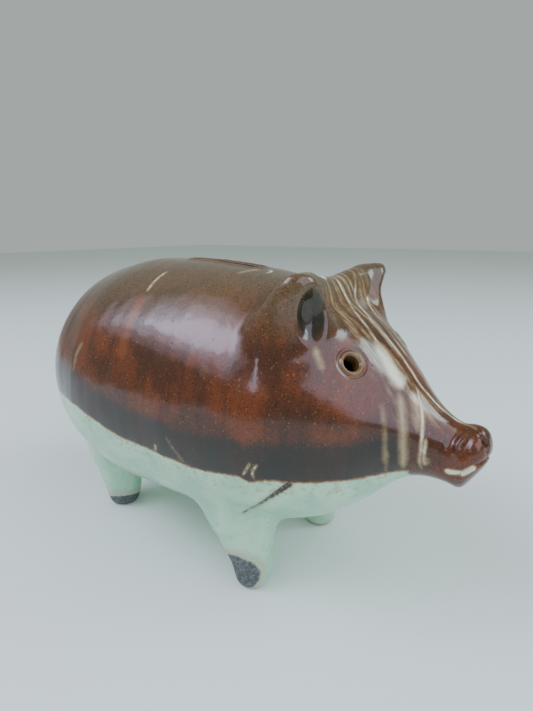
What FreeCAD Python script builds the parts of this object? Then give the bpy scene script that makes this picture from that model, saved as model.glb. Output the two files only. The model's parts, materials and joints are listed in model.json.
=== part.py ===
import FreeCAD, Part
import math
import os
import Sketcher
from FreeCAD import Vector

# A pottery pig money box, fired in one piece but made from nine pieces of clay:
# a wheel-thrown hollow body, and a snout, two ears, four legs and a tail that are
# luted (stuck with slip) onto it while leather-hard.
# Frame: +X to the nose, +Y to the pig's left, +Z up, floor at z = 0.
# Stations along the body are measured from the rump pole towards the nose.

doc = FreeCAD.newDocument("PigMoneyBox")

# ---------------------------------------------------------------- driving sizes
# (alias, millimetres or degrees, what it is)
SIZES = (
    # body: control points of the thrown profile (station, radius)
    ("axis_height", 72.0, "height of the throwing axis over the floor"),
    ("rump_cap_radius", 17.8, "flat of the rump, where the pot left the wheel"),
    ("rump_turn_station", 8.0, "where the rump turns into the flank"),
    ("rump_turn_radius", 44.1, ""),
    ("hip_station", 41.6, ""),
    ("hip_radius", 51.7, ""),
    ("belly_station", 53.3, "widest part"),
    ("belly_radius", 55.1, ""),
    ("chest_station", 135.0, ""),
    ("chest_radius", 50.5, ""),
    ("throat_station", 153.2, ""),
    ("throat_radius", 38.6, ""),
    ("neck_station", 169.5, "open neck that takes the snout"),
    ("neck_radius", 21.3, ""),
    ("wall", 5.5, "thrown wall"),
    # coin slot
    ("slot_station", 69.0, "rear end of the slot"),
    ("slot_length", 38.0, "over its round ends"),
    ("slot_width", 5.0, ""),
    # pierced eyes
    ("eye_station", 158.5, ""),
    ("eye_side", 20.0, "from the middle plane"),
    ("eye_rise", 24.5, "over the throwing axis"),
    ("eye_hole", 5.5, "diameter"),
    ("eye_rod_reach", 22.0, "how far the piercing rod goes in and stands out"),
    ("eye_turn", 33.0, "degrees outward from straight ahead"),
    ("eye_tilt", 57.0, "degrees down from straight up"),
    # snout: sections at a distance from the neck, with a droop below the axis
    ("snout_reach", 28.5, "neck to the nose tip"),
    ("bridge_out", 6.0, ""),
    ("bridge_radius", 15.8, ""),
    ("bridge_droop", 1.5, ""),
    ("taper_out", 12.0, ""),
    ("taper_radius", 11.6, ""),
    ("taper_droop", 3.2, ""),
    ("waist_out", 18.0, ""),
    ("waist_radius", 9.4, ""),
    ("waist_droop", 4.7, ""),
    ("muzzle_out", 23.0, "rim of the nose disc"),
    ("muzzle_radius", 10.7, ""),
    ("muzzle_droop", 5.8, ""),
    ("disc_out", 27.0, "front edge of the nose disc"),
    ("disc_radius", 9.0, ""),
    ("disc_droop", 3.8, ""),
    ("nose_radius", 6.5, "flat nose face"),
    ("nose_droop", 2.8, ""),
    ("tenon_length", 8.0, "plug that goes into the neck"),
    ("tenon_gap", 0.3, "slip gap round the plug"),
    ("nostril_hole", 2.4, "diameter"),
    ("nostril_depth", 3.0, ""),
    ("nostril_side", 3.4, "from the middle plane"),
    ("mouth_droop", 8.0, "mouth line below the axis"),
    ("mouth_gap", 1.0, "height of the pressed mouth line"),
    ("mouth_depth", 6.0, ""),
    # ears: sections up the ear, long across the dish
    ("ear_station", 140.0, "middle of the root"),
    ("ear_side", 21.5, "middle of the root, from the middle plane"),
    ("ear_root_rise", 22.0, "root over the throwing axis, inside the wall"),
    ("ear_turn", 41.0, "degrees the dish turns outward from straight ahead"),
    ("ear_height", 31.3, "root to tip"),
    ("ear_root_half_width", 17.0, ""),
    ("ear_root_half_depth", 9.5, ""),
    ("ear_middle_height", 18.0, ""),
    ("ear_middle_half_width", 12.5, ""),
    ("ear_middle_half_depth", 6.6, ""),
    ("ear_shoulder_height", 28.5, "just under the rounded tip"),
    ("ear_shoulder_half_width", 6.5, ""),
    ("ear_shoulder_half_depth", 4.2, ""),
    ("ear_tip_half_width", 3.2, ""),
    ("ear_tip_half_depth", 2.0, ""),
    ("ear_tip_sweep", 2.5, "tip set back towards the rear edge"),
    ("ear_tip_lean", 7.0, "tip leans outward"),
    ("dish_radius", 11.0, "ball that presses the dish"),
    ("dish_height", 20.0, "ball centre over the root"),
    ("dish_depth", 4.0, "how deep it goes into the front face"),
    # legs: sections from the sole up into the belly
    ("tread_radius", 5.8, "flat that stands on the table"),
    ("sole_rise", 2.0, "rounding between the tread and the foot"),
    ("sole_radius", 7.2, ""),
    ("ankle_height", 10.0, ""),
    ("ankle_radius", 9.2, ""),
    ("calf_height", 20.0, ""),
    ("haunch_height", 32.0, ""),
    ("root_height", 45.0, "top of the leg, inside the belly wall"),
    ("front_sole_station", 121.4, ""),
    ("front_sole_side", 25.9, ""),
    ("front_calf_back", 3.6, "how far the section sits behind the sole"),
    ("front_calf_half_length", 12.8, ""),
    ("front_calf_half_width", 10.8, ""),
    ("front_haunch_back", 9.5, ""),
    ("front_haunch_half_length", 19.0, ""),
    ("front_haunch_half_width", 13.0, ""),
    ("front_root_back", 12.0, ""),
    ("front_root_half_length", 24.0, ""),
    ("front_root_half_width", 13.0, ""),
    ("front_root_in", 7.0, "root set in towards the middle plane"),
    ("rear_sole_station", 29.3, ""),
    ("rear_sole_side", 20.0, ""),
    ("rear_calf_back", 1.6, ""),
    ("rear_calf_half_length", 11.8, ""),
    ("rear_calf_half_width", 11.0, ""),
    ("rear_haunch_back", 4.5, ""),
    ("rear_haunch_half_length", 15.0, ""),
    ("rear_haunch_half_width", 13.0, ""),
    ("rear_root_back", 3.0, ""),
    ("rear_root_half_length", 15.0, ""),
    ("rear_root_half_width", 12.5, ""),
    ("rear_root_in", 1.0, ""),
    # tail
    ("tail_proud", 3.0, "how far the tail stands behind the rump"),
    ("tail_curl_radius", 5.0, "middle line of the curl"),
    ("tail_roll_radius", 2.6, "half the thickness of the rolled clay"),
    ("tail_curl_turn", 300.0, "degrees of curl"),
    ("tail_rise", 11.0, "curl over the throwing axis"),
)

sheet = doc.addObject("Spreadsheet::Sheet", "Sizes")
for row, (alias, value, note) in enumerate(SIZES, start=1):
    sheet.set(f"A{row}", alias)
    sheet.set(f"B{row}", str(value))
    sheet.set(f"C{row}", note)
    sheet.setAlias(f"B{row}", alias)
doc.recompute()

# Sketcher's numbers for a curve's points and for the sketch's own origin and axes.
START, END, CENTRE = 1, 2, 3
ORIGIN, X_AXIS, Y_AXIS = -1, -1, -2
DEGREE = 3

# The origin lies under the middle of the overall length, tail to nose tip.
MIDDLE = "((Sizes.neck_station + Sizes.snout_reach - Sizes.tail_proud) / 2)"
AXIS_UP = "Sizes.axis_height"


# ------------------------------------------------------------------- small tools
def bind(target, prop, expression):
    target.setExpression(prop, expression)


def plane(body, role):
    return next(item for item in body.Origin.OriginFeatures if item.Role == role)


def new_sketch(body, name, role, height="0"):
    sketch = body.newObject("Sketcher::SketchObject", name)
    sketch.AttachmentSupport = [(plane(body, role), "")]
    sketch.MapMode = "FlatFace"
    bind(sketch, "AttachmentOffset.Base.z", height)
    return sketch


def dimension(sketch, kind, where, expression, start):
    """A driving dimension whose value comes from the sheet."""
    index = sketch.addConstraint(Sketcher.Constraint(kind, *where, start))
    bind(sketch, f"Constraints[{index}]", expression)


def place(target, station, side, up, yaw="0", pitch="0", roll="0"):
    """Puts a piece at a station of the body, beside the middle plane, at a height."""
    spot = f"vector({station} - {MIDDLE}; {side}; {up})"
    bind(target, "Placement", f"placement({spot}; rotation({yaw}; {pitch}; {roll}))")


def size(alias):
    return float(sheet.get(alias))


# A spare box whose length works out expressions; it is lifted so as never to be negative.
PROBE_LIFT = 1000
probe = doc.addObject("Part::Box", "probe")


def value(expression):
    """What an expression on the sheet comes to, for a sketch's first guess."""
    probe.setExpression("Length", f"{expression} + {PROBE_LIFT}")
    doc.recompute([probe])
    return probe.Length.Value - PROBE_LIFT


def cut(label, base, tool):
    result = doc.addObject("Part::Cut", label)
    result.Label = label
    result.Base = base
    result.Tool = tool
    return result


# ------------------------------------------------------------ the thrown profile
POLES = (
    ("0", "0"),
    ("0", "Sizes.rump_cap_radius"),
    ("Sizes.rump_turn_station", "Sizes.rump_turn_radius"),
    ("Sizes.hip_station", "Sizes.hip_radius"),
    ("Sizes.belly_station", "Sizes.belly_radius"),
    ("Sizes.chest_station", "Sizes.chest_radius"),
    ("Sizes.throat_station", "Sizes.throat_radius"),
    ("Sizes.neck_station", "Sizes.neck_radius"),
)


def inward(start, end):
    """Unit normal of one leg of the control polygon, towards the axis."""
    run = f"({end[0]} - ({start[0]}))"
    rise = f"({end[1]} - ({start[1]}))"
    length = f"sqrt({run}^2 + {rise}^2)"
    return f"({rise} / {length})", f"(-{run} / {length})"


def inner_poles():
    """Control points of the cavity: the polygon moved in by the wall."""
    inner = [("Sizes.wall", "0")]
    for before, pole, after in zip(POLES, POLES[1:], POLES[2:]):
        (ax, ar), (bx, br) = inward(before, pole), inward(pole, after)
        reach = f"Sizes.wall / (1 + {ax} * {bx} + {ar} * {br})"
        inner.append((
            f"{pole[0]} + {reach} * ({ax} + {bx})",
            f"{pole[1]} + {reach} * ({ar} + {br})",
        ))
    slope = inward(POLES[-2], POLES[-1])[1]
    inner.append((POLES[-1][0], f"{POLES[-1][1]} + Sizes.wall / {slope}"))
    return inner


def profile(sketch, poles):
    """A closed half section: a cubic spline over the poles, and the axis."""
    spots = [Vector(value(x), value(r), 0) for x, r in poles]
    spans = len(spots) - DEGREE
    knots = [step / spans for step in range(spans + 1)]
    ends = [DEGREE + 1] + [1] * (spans - 1) + [DEGREE + 1]
    spline = Part.BSplineCurve()
    spline.buildFromPolesMultsKnots(spots, ends, knots, False, DEGREE)
    curve = sketch.addGeometry(spline, False)
    rings = []
    for index, spot in enumerate(spots):
        ring = sketch.addGeometry(Part.Circle(spot, Vector(0, 0, 1), 1), True)
        rings.append(ring)
        kind = "InternalAlignment:Sketcher::BSplineControlPoint"
        sketch.addConstraint(Sketcher.Constraint(kind, ring, CENTRE, curve, index))
    sketch.addConstraint(Sketcher.Constraint("Weight", rings[0], 1.0))
    for ring in rings[1:]:
        sketch.addConstraint(Sketcher.Constraint("Equal", rings[0], ring))
    foot = Vector(spots[-1].x, 0, 0)
    rim = sketch.addGeometry(Part.LineSegment(spots[-1], foot), False)
    axis = sketch.addGeometry(Part.LineSegment(foot, spots[0]), False)
    sketch.addConstraint(Sketcher.Constraint("Coincident", curve, END, rim, START))
    sketch.addConstraint(Sketcher.Constraint("Coincident", rim, END, axis, START))
    sketch.addConstraint(Sketcher.Constraint("Coincident", axis, END, curve, START))
    sketch.addConstraint(Sketcher.Constraint("Vertical", rim))
    sketch.addConstraint(Sketcher.Constraint("PointOnObject", curve, START, X_AXIS))
    sketch.addConstraint(Sketcher.Constraint("Horizontal", axis))
    for ring, spot, (x, r) in zip(rings, spots, poles):
        if x == "0":
            sketch.addConstraint(Sketcher.Constraint("PointOnObject", ring, CENTRE, Y_AXIS))
        else:
            dimension(sketch, "DistanceX", (ORIGIN, START, ring, CENTRE), x, spot.x)
        if r != "0":
            dimension(sketch, "DistanceY", (ORIGIN, START, ring, CENTRE), r, spot.y)


def thrown_body(label):
    """The closed outer form, solid, as it would look on the wheel."""
    body = doc.addObject("PartDesign::Body", label)
    outline = new_sketch(body, f"{label}_outline", "XZ_Plane")
    profile(outline, POLES)
    form = body.newObject("PartDesign::Revolution", f"{label}_form")
    form.Profile = outline
    form.ReferenceAxis = (outline, ["H_Axis"])
    form.Angle = 360
    place(body, "0", "0", AXIS_UP)
    doc.recompute()
    return body


# -------------------------------------------------------------------- body shell
thrown_form = thrown_body("thrown_form")

shell = thrown_body("shell")
solid_volume = shell.Shape.Volume
cavity_outline = new_sketch(shell, "cavity_outline", "XZ_Plane")
profile(cavity_outline, inner_poles())
cavity = shell.newObject("PartDesign::Groove", "cavity")
cavity.Profile = cavity_outline
cavity.ReferenceAxis = (cavity_outline, ["H_Axis"])
cavity.Angle = 360
doc.recompute()
hollow_volume = shell.Shape.Volume

# Coin slot along the spine, its ends round, cut up through the top wall only.
slot_outline = new_sketch(shell, "slot_outline", "XY_Plane")
half = size("slot_width") / 2
back = size("slot_station") + half
front = back + size("slot_length") - 2 * half
quarter = math.pi / 2
rear_end = slot_outline.addGeometry(
    Part.ArcOfCircle(Part.Circle(Vector(back, 0, 0), Vector(0, 0, 1), half), quarter, 3 * quarter))
front_end = slot_outline.addGeometry(
    Part.ArcOfCircle(Part.Circle(Vector(front, 0, 0), Vector(0, 0, 1), half), -quarter, quarter))
low_side = slot_outline.addGeometry(Part.LineSegment(Vector(back, -half, 0), Vector(front, -half, 0)))
high_side = slot_outline.addGeometry(Part.LineSegment(Vector(front, half, 0), Vector(back, half, 0)))
for joint in (
    (rear_end, END, low_side, START),
    (low_side, END, front_end, START),
    (front_end, END, high_side, START),
    (high_side, END, rear_end, START),
):
    slot_outline.addConstraint(Sketcher.Constraint("Tangent", *joint))
slot_outline.addConstraint(Sketcher.Constraint("PointOnObject", rear_end, CENTRE, X_AXIS))
slot_outline.addConstraint(Sketcher.Constraint("Horizontal", low_side))
dimension(slot_outline, "Radius", (rear_end,), "Sizes.slot_width / 2", half)
dimension(slot_outline, "DistanceX", (ORIGIN, START, rear_end, CENTRE),
          "Sizes.slot_station + Sizes.slot_width / 2", back)
dimension(slot_outline, "DistanceX", (rear_end, CENTRE, front_end, CENTRE),
          "Sizes.slot_length - Sizes.slot_width", front - back)
slot = shell.newObject("PartDesign::Pocket", "coin_slot")
slot.Profile = slot_outline
slot.Reversed = True
bind(slot, "Length", "Sizes.axis_height")
doc.recompute()
slotted_volume = shell.Shape.Volume
assert solid_volume > hollow_volume > slotted_volume > 0

# Eyes pierced square to the slope of the face, with one rod each side.
EYE_OUT = "sin(Sizes.eye_tilt)"
rods = []
for side_name, sign in (("left", 1), ("right", -1)):
    rod = doc.addObject("Part::Cylinder", f"eye_rod_{side_name}")
    bind(rod, "Radius", "Sizes.eye_hole / 2")
    bind(rod, "Height", "Sizes.eye_rod_reach * 2")
    place(
        rod,
        f"Sizes.eye_station - Sizes.eye_rod_reach * {EYE_OUT} * cos(Sizes.eye_turn)",
        f"{sign} * (Sizes.eye_side - Sizes.eye_rod_reach * {EYE_OUT} * sin(Sizes.eye_turn))",
        f"{AXIS_UP} + Sizes.eye_rise - Sizes.eye_rod_reach * cos(Sizes.eye_tilt)",
        yaw=f"{sign} * Sizes.eye_turn",
        pitch="Sizes.eye_tilt",
    )
    rods.append(rod)
eye_rods = doc.addObject("Part::MultiFuse", "eye_rods")
eye_rods.Shapes = rods
body_shell = cut("body_shell", shell, eye_rods)


# ------------------------------------------------------------------ lofted pieces
def oval(sketch, forward, side, half_length, half_width):
    """A round or oval section; long in the sketch's X where the two halves differ."""
    middle = Vector(value(forward), value(side), 0)
    long_half, short_half = value(half_length), value(half_width)
    if half_length == half_width:
        ring = sketch.addGeometry(Part.Circle(middle, Vector(0, 0, 1), long_half))
        dimension(sketch, "Radius", (ring,), half_length, long_half)
    else:
        shape = Part.Ellipse(middle + Vector(long_half, 0, 0), middle + Vector(0, short_half, 0), middle)
        ring = sketch.addGeometry(shape)
        sketch.exposeInternalGeometry(ring)
        long_axis, short_axis = ring + 1, ring + 2
        sketch.addConstraint(Sketcher.Constraint("Horizontal", long_axis))
        dimension(sketch, "Distance", (long_axis,), f"2 * {half_length}", 2 * long_half)
        dimension(sketch, "Distance", (short_axis,), f"2 * {half_width}", 2 * short_half)
    for kind, expression, start, line in (
        ("DistanceX", forward, middle.x, Y_AXIS),
        ("DistanceY", side, middle.y, X_AXIS),
    ):
        if expression == "0":
            sketch.addConstraint(Sketcher.Constraint("PointOnObject", ring, CENTRE, line))
        else:
            dimension(sketch, kind, (ORIGIN, START, ring, CENTRE), expression, start)


def lofted(label, sections):
    """A body skinned over sections (height, forward, side, half length, half width)."""
    body = doc.addObject("PartDesign::Body", label)
    rings = []
    for index, (height, *shape) in enumerate(sections):
        ring = new_sketch(body, f"{label}_section_{index}", "XY_Plane", height)
        oval(ring, *shape)
        rings.append(ring)
    skin = body.newObject("PartDesign::AdditiveLoft", f"{label}_skin")
    skin.Profile = rings[0]
    skin.Sections = [(ring, [""]) for ring in rings[1:]]
    doc.recompute()
    return body


# ------------------------------------------------------------------------- snout
# Built upwards from the neck and then turned to point forward, so that the
# sketch's X is downward on the finished piece.
snout = lofted("snout", [
    (out, droop, "0", radius, radius)
    for out, droop, radius in (
        ("0", "0", "Sizes.neck_radius"),
        ("Sizes.bridge_out", "Sizes.bridge_droop", "Sizes.bridge_radius"),
        ("Sizes.taper_out", "Sizes.taper_droop", "Sizes.taper_radius"),
        ("Sizes.waist_out", "Sizes.waist_droop", "Sizes.waist_radius"),
        ("Sizes.muzzle_out", "Sizes.muzzle_droop", "Sizes.muzzle_radius"),
        ("Sizes.disc_out", "Sizes.disc_droop", "Sizes.disc_radius"),
        ("Sizes.snout_reach", "Sizes.nose_droop", "Sizes.nose_radius"),
    )
])
snout_volume = snout.Shape.Volume

tenon_outline = new_sketch(snout, "tenon_outline", "XY_Plane")
neck_bore = inner_poles()[-1][1]
oval(tenon_outline, "0", "0", f"{neck_bore} - Sizes.tenon_gap", f"{neck_bore} - Sizes.tenon_gap")
tenon = snout.newObject("PartDesign::Pad", "tenon")
tenon.Profile = tenon_outline
tenon.Reversed = True
bind(tenon, "Length", "Sizes.tenon_length")

nostril_outline = new_sketch(snout, "nostril_outline", "XY_Plane", "Sizes.snout_reach")
for sign in (1, -1):
    middle = Vector(size("nose_droop"), sign * size("nostril_side"), 0)
    hole = nostril_outline.addGeometry(Part.Circle(middle, Vector(0, 0, 1), size("nostril_hole") / 2))
    dimension(nostril_outline, "Diameter", (hole,), "Sizes.nostril_hole", size("nostril_hole"))
    dimension(nostril_outline, "DistanceX", (ORIGIN, START, hole, CENTRE), "Sizes.nose_droop", middle.x)
    across = (ORIGIN, START, hole, CENTRE) if sign > 0 else (hole, CENTRE, ORIGIN, START)
    dimension(nostril_outline, "DistanceY", across, "Sizes.nostril_side", size("nostril_side"))
nostrils = snout.newObject("PartDesign::Pocket", "nostrils")
nostrils.Profile = nostril_outline
bind(nostrils, "Length", "Sizes.nostril_depth")

mouth_tool = doc.addObject("Part::Box", "mouth_tool")
bind(mouth_tool, "Length", "Sizes.mouth_depth * 2")
bind(mouth_tool, "Width", "Sizes.muzzle_radius * 4")
bind(mouth_tool, "Height", "Sizes.mouth_gap")
place(mouth_tool, "Sizes.neck_station + Sizes.snout_reach - Sizes.mouth_depth",
      "-Sizes.muzzle_radius * 2", f"{AXIS_UP} - Sizes.mouth_droop - Sizes.mouth_gap / 2")
snout.Label = "snout_blank"
place(snout, "Sizes.neck_station", "0", AXIS_UP, pitch="90")
doc.recompute()
assert snout.Shape.Volume > snout_volume
snout_piece = cut("snout_piece", snout, mouth_tool)
snout_piece.Label = "snout"
PIECES = [("body_shell", body_shell), ("snout", snout_piece)]

# -------------------------------------------------------------------------- ears
SIDES = (("left", 1), ("right", -1))


def ear(label, sign):
    """A pinched fin with a dish pressed into its forward, outer face."""
    blank = lofted(f"{label}_blank", [
        ("0", "0", "0", "Sizes.ear_root_half_width", "Sizes.ear_root_half_depth"),
        ("Sizes.ear_middle_height", "-Sizes.ear_tip_sweep / 2", f"{sign} * Sizes.ear_tip_lean / 2",
         "Sizes.ear_middle_half_width", "Sizes.ear_middle_half_depth"),
        ("Sizes.ear_shoulder_height", "-Sizes.ear_tip_sweep", f"{sign} * Sizes.ear_tip_lean",
         "Sizes.ear_shoulder_half_width", "Sizes.ear_shoulder_half_depth"),
        ("Sizes.ear_height", "-Sizes.ear_tip_sweep", f"{sign} * Sizes.ear_tip_lean",
         "Sizes.ear_tip_half_width", "Sizes.ear_tip_half_depth"),
    ])
    plain_volume = blank.Shape.Volume
    dish = blank.newObject("PartDesign::SubtractiveSphere", f"{label}_dish")
    bind(dish, "Radius", "Sizes.dish_radius")
    face = "Sizes.ear_tip_lean / 2 + Sizes.ear_middle_half_depth"
    bind(dish, "Placement.Base.y", f"{sign} * ({face} + Sizes.dish_radius - Sizes.dish_depth)")
    bind(dish, "Placement.Base.z", "Sizes.dish_height")
    place(blank, "Sizes.ear_station", f"{sign} * Sizes.ear_side", f"{AXIS_UP} + Sizes.ear_root_rise",
          yaw=f"{-sign} * Sizes.ear_turn")
    doc.recompute()
    assert blank.Shape.Volume < plain_volume
    return cut(label, blank, thrown_form)


for side_name, sign in SIDES:
    PIECES.append((f"ear_{side_name}", ear(f"ear_{side_name}", sign)))


# -------------------------------------------------------------------------- legs
def leg(label, end, sign):
    """A leg pulled from one lump: round sole and ankle, flaring into the belly."""
    sections = [
        ("0", "0", "0", "Sizes.tread_radius", "Sizes.tread_radius"),
        ("Sizes.sole_rise", "0", "0", "Sizes.sole_radius", "Sizes.sole_radius"),
        ("Sizes.ankle_height", "0", "0", "Sizes.ankle_radius", "Sizes.ankle_radius"),
    ]
    for part, side in (("calf", "0"), ("haunch", "0"), ("root", f"{-sign} * Sizes.{end}_root_in")):
        sections.append((
            f"Sizes.{part}_height",
            f"-Sizes.{end}_{part}_back",
            side,
            f"Sizes.{end}_{part}_half_length",
            f"Sizes.{end}_{part}_half_width",
        ))
    blank = lofted(f"{label}_blank", sections)
    place(blank, f"Sizes.{end}_sole_station", f"{sign} * Sizes.{end}_sole_side", "0")
    doc.recompute()
    return cut(label, blank, thrown_form)


for end in ("front", "rear"):
    for side_name, sign in SIDES:
        label = f"leg_{end}_{side_name}"
        PIECES.append((label, leg(label, end, sign)))

# -------------------------------------------------------------------------- tail
# A rolled worm of clay curled flat against the rump, its two ends rounded.
TAIL_BACK = "Sizes.tail_roll_radius - Sizes.tail_proud"
curl = doc.addObject("Part::Torus", "tail_curl")
bind(curl, "Radius1", "Sizes.tail_curl_radius")
bind(curl, "Radius2", "Sizes.tail_roll_radius")
bind(curl, "Angle3", "Sizes.tail_curl_turn")
place(curl, TAIL_BACK, "0", f"{AXIS_UP} + Sizes.tail_rise", pitch="-90")
rolls = [curl]
for name, turn in (("tail_root", "0"), ("tail_tip", "Sizes.tail_curl_turn")):
    knob = doc.addObject("Part::Sphere", name)
    bind(knob, "Radius", "Sizes.tail_roll_radius")
    place(knob, TAIL_BACK, f"Sizes.tail_curl_radius * sin({turn})",
          f"{AXIS_UP} + Sizes.tail_rise + Sizes.tail_curl_radius * cos({turn})")
    rolls.append(knob)
tail_roll = doc.addObject("Part::MultiFuse", "tail_roll")
tail_roll.Shapes = rolls
PIECES.append(("tail", cut("tail", tail_roll, thrown_form)))

# ------------------------------------------------------------------ check, write
doc.removeObject("probe")
doc.recompute()
for item in doc.Objects:
    assert "Invalid" not in item.State and "Error" not in item.State, (item.Label, item.State)
for label, piece in PIECES:
    shape = piece.Shape
    assert not shape.isNull() and shape.isValid(), label
    assert len(shape.Solids) == 1, (label, len(shape.Solids))

os.makedirs("parts", exist_ok=True)
for label, piece in PIECES:
    piece.Shape.exportStep(f"parts/{label}.step")
    print(f"{label}: {piece.Shape.Volume / 1000:.1f} cm3")
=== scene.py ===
import json
import math

import bmesh
import bpy
import numpy as np
from mathutils import Matrix, Vector, noise
from mathutils.kdtree import KDTree


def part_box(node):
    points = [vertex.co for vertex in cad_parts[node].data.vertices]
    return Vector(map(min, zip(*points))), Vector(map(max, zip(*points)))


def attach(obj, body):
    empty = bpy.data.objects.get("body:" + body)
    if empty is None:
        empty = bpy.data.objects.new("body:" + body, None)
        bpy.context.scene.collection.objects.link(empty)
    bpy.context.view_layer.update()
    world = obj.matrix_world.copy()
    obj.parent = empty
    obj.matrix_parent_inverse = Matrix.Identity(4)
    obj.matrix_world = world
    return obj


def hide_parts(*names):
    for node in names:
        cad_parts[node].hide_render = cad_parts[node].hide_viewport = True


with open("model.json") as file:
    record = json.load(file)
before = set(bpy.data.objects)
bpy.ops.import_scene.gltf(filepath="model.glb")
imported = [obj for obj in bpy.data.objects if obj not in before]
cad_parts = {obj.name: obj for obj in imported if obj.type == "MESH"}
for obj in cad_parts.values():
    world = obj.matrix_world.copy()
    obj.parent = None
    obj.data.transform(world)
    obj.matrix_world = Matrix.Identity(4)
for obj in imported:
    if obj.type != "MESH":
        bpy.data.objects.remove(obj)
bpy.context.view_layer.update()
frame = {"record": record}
print("frame loaded")

# Everything is modelled in millimetres and brought to metres as each piece is finished.
mm = 0.001
shellLow, shellHigh = (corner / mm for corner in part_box("body_shell"))
rumpX = shellLow.x
neckX = shellHigh.x
axisZ = (shellLow.z + shellHigh.z) / 2


# small tools

def hexToLinear(code):
    # sRGB hex to the linear colour that shaders and lights expect
    channels = [int(code[i:i + 2], 16) / 255 for i in (1, 3, 5)]
    return [c / 12.92 if c <= 0.04045 else ((c + 0.055) / 1.055) ** 2.4 for c in channels]


def vertsOf(geom):
    return [item for item in geom if isinstance(item, bmesh.types.BMVert)]


def newObject(name, bm):
    mesh = bpy.data.meshes.new(name)
    bm.to_mesh(mesh)
    bm.free()
    obj = bpy.data.objects.new(name, mesh)
    bpy.context.scene.collection.objects.link(obj)
    return obj


def bakeModifiers(obj):
    # swaps the mesh for what its modifiers make of it
    bpy.context.view_layer.update()
    graph = bpy.context.evaluated_depsgraph_get()
    made = bpy.data.meshes.new_from_object(obj.evaluated_get(graph))
    old = obj.data
    obj.modifiers.clear()
    obj.data = made
    bpy.data.meshes.remove(old)


def readVectors(items, key):
    values = np.zeros(len(items) * 3)
    items.foreach_get(key, values)
    return values.reshape(-1, 3)


def getPoints(mesh):
    return readVectors(mesh.vertices, "co")


def setPoints(mesh, points):
    mesh.vertices.foreach_set("co", points.ravel())
    mesh.update()


def getNormals(mesh):
    return readVectors(mesh.vertices, "normal")


def ease(low, high, value):
    # smooth step from 0 at low to 1 at high
    t = np.clip((value - low) / (high - low), 0, 1)
    return t * t * (3 - 2 * t)


def smoothKeys(keys, steps):
    # a Catmull-Rom curve through rows of numbers
    keys = np.array(keys, float)
    padded = np.vstack([2 * keys[0] - keys[1], keys, 2 * keys[-1] - keys[-2]])
    rows = []
    for a, b, c, d in zip(padded, padded[1:], padded[2:], padded[3:]):
        for t in np.linspace(0, 1, steps, endpoint=False):
            rows.append(0.5 * (2 * b + (c - a) * t + (2 * a - 5 * b + 4 * c - d) * t ** 2
                               + (3 * b - a - 3 * c + d) * t ** 3))
    rows.append(keys[-1])
    return np.array(rows)


def growRings(keys, steps=6, sides=56):
    # a closed form grown from one ring: each key is (up, x, y, halfX, halfY, lean)
    rings = smoothKeys(keys, steps)
    bm = bmesh.new()
    unit = bm.verts.layers.float_vector.new("unit")
    ring = bmesh.ops.create_circle(bm, segments=sides, radius=1)["verts"]
    for vert in ring:
        vert[unit] = vert.co
    edges = list(bm.edges)
    for index, (up, x, y, halfX, halfY, lean) in enumerate(rings):
        if index:
            grown = bmesh.ops.extrude_edge_only(bm, edges=edges)["geom"]
            ring = vertsOf(grown)
            edges = [item for item in grown if isinstance(item, bmesh.types.BMEdge)]
        for vert in ring:
            across = vert[unit].x * halfX
            vert.co = (x + across, y + vert[unit].y * halfY, up + lean * across)
    bmesh.ops.holes_fill(bm, edges=bm.edges, sides=0)
    bmesh.ops.recalc_face_normals(bm, faces=bm.faces)
    return bm


# raw forms: overlapping lumps of clay, each closed

sides = {"left": 1, "right": -1}

bodyShape = {
    "profile": [  # control points of the thrown wall: station from the rump, radius
        (0, 0), (0, 17.8), (8, 44.1), (41.6, 51.7), (53.3, 55.1), (135, 50.5), (153.2, 38.6), (169.5, 21.3),
    ],
    "wall": 5.5,
    "neck": 21.3,
    "bore": 13.3,
    "turns": 180,
}


def profileCurve(poles):
    # the same cubic spline as the CAD body's, sampled
    curve = bpy.data.curves.new("profile", "CURVE")
    curve.dimensions = "3D"
    spline = curve.splines.new("NURBS")
    spline.points.add(len(poles) - 1)
    for point, (station, radius) in zip(spline.points, poles):
        point.co = (station, 0, radius, 1)
    spline.order_u = 4
    spline.use_endpoint_u = True
    spline.resolution_u = 24
    obj = bpy.data.objects.new("profile", curve)
    mesh = bpy.data.meshes.new_from_object(obj)
    points = getPoints(mesh)
    bpy.data.objects.remove(obj)
    return points[:, [0, 2]]


def spinProfile(points, turns):
    bm = bmesh.new()
    verts = [bm.verts.new((station, 0, radius)) for station, radius in points]
    edges = [bm.edges.new(pair) for pair in zip(verts, verts[1:])]
    bmesh.ops.spin(bm, geom=verts + edges, cent=(0, 0, 0), axis=(1, 0, 0), angle=2 * math.pi,
                   steps=turns, use_merge=True)
    bmesh.ops.remove_doubles(bm, verts=bm.verts, dist=0.001)
    bmesh.ops.holes_fill(bm, edges=bm.edges, sides=0)
    bmesh.ops.recalc_face_normals(bm, faces=bm.faces)
    bmesh.ops.translate(bm, verts=bm.verts, vec=(rumpX, 0, axisZ))
    return bm


outerProfile = profileCurve(bodyShape["profile"])


def heightOverBody(points):
    # how far a point stands off the thrown wall, measured square to the axis
    radius = np.hypot(points[:, 1], points[:, 2] - axisZ)
    wall = np.interp(points[:, 0] - rumpX, outerProfile[:, 0], outerProfile[:, 1], right=0)
    return radius - wall


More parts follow.
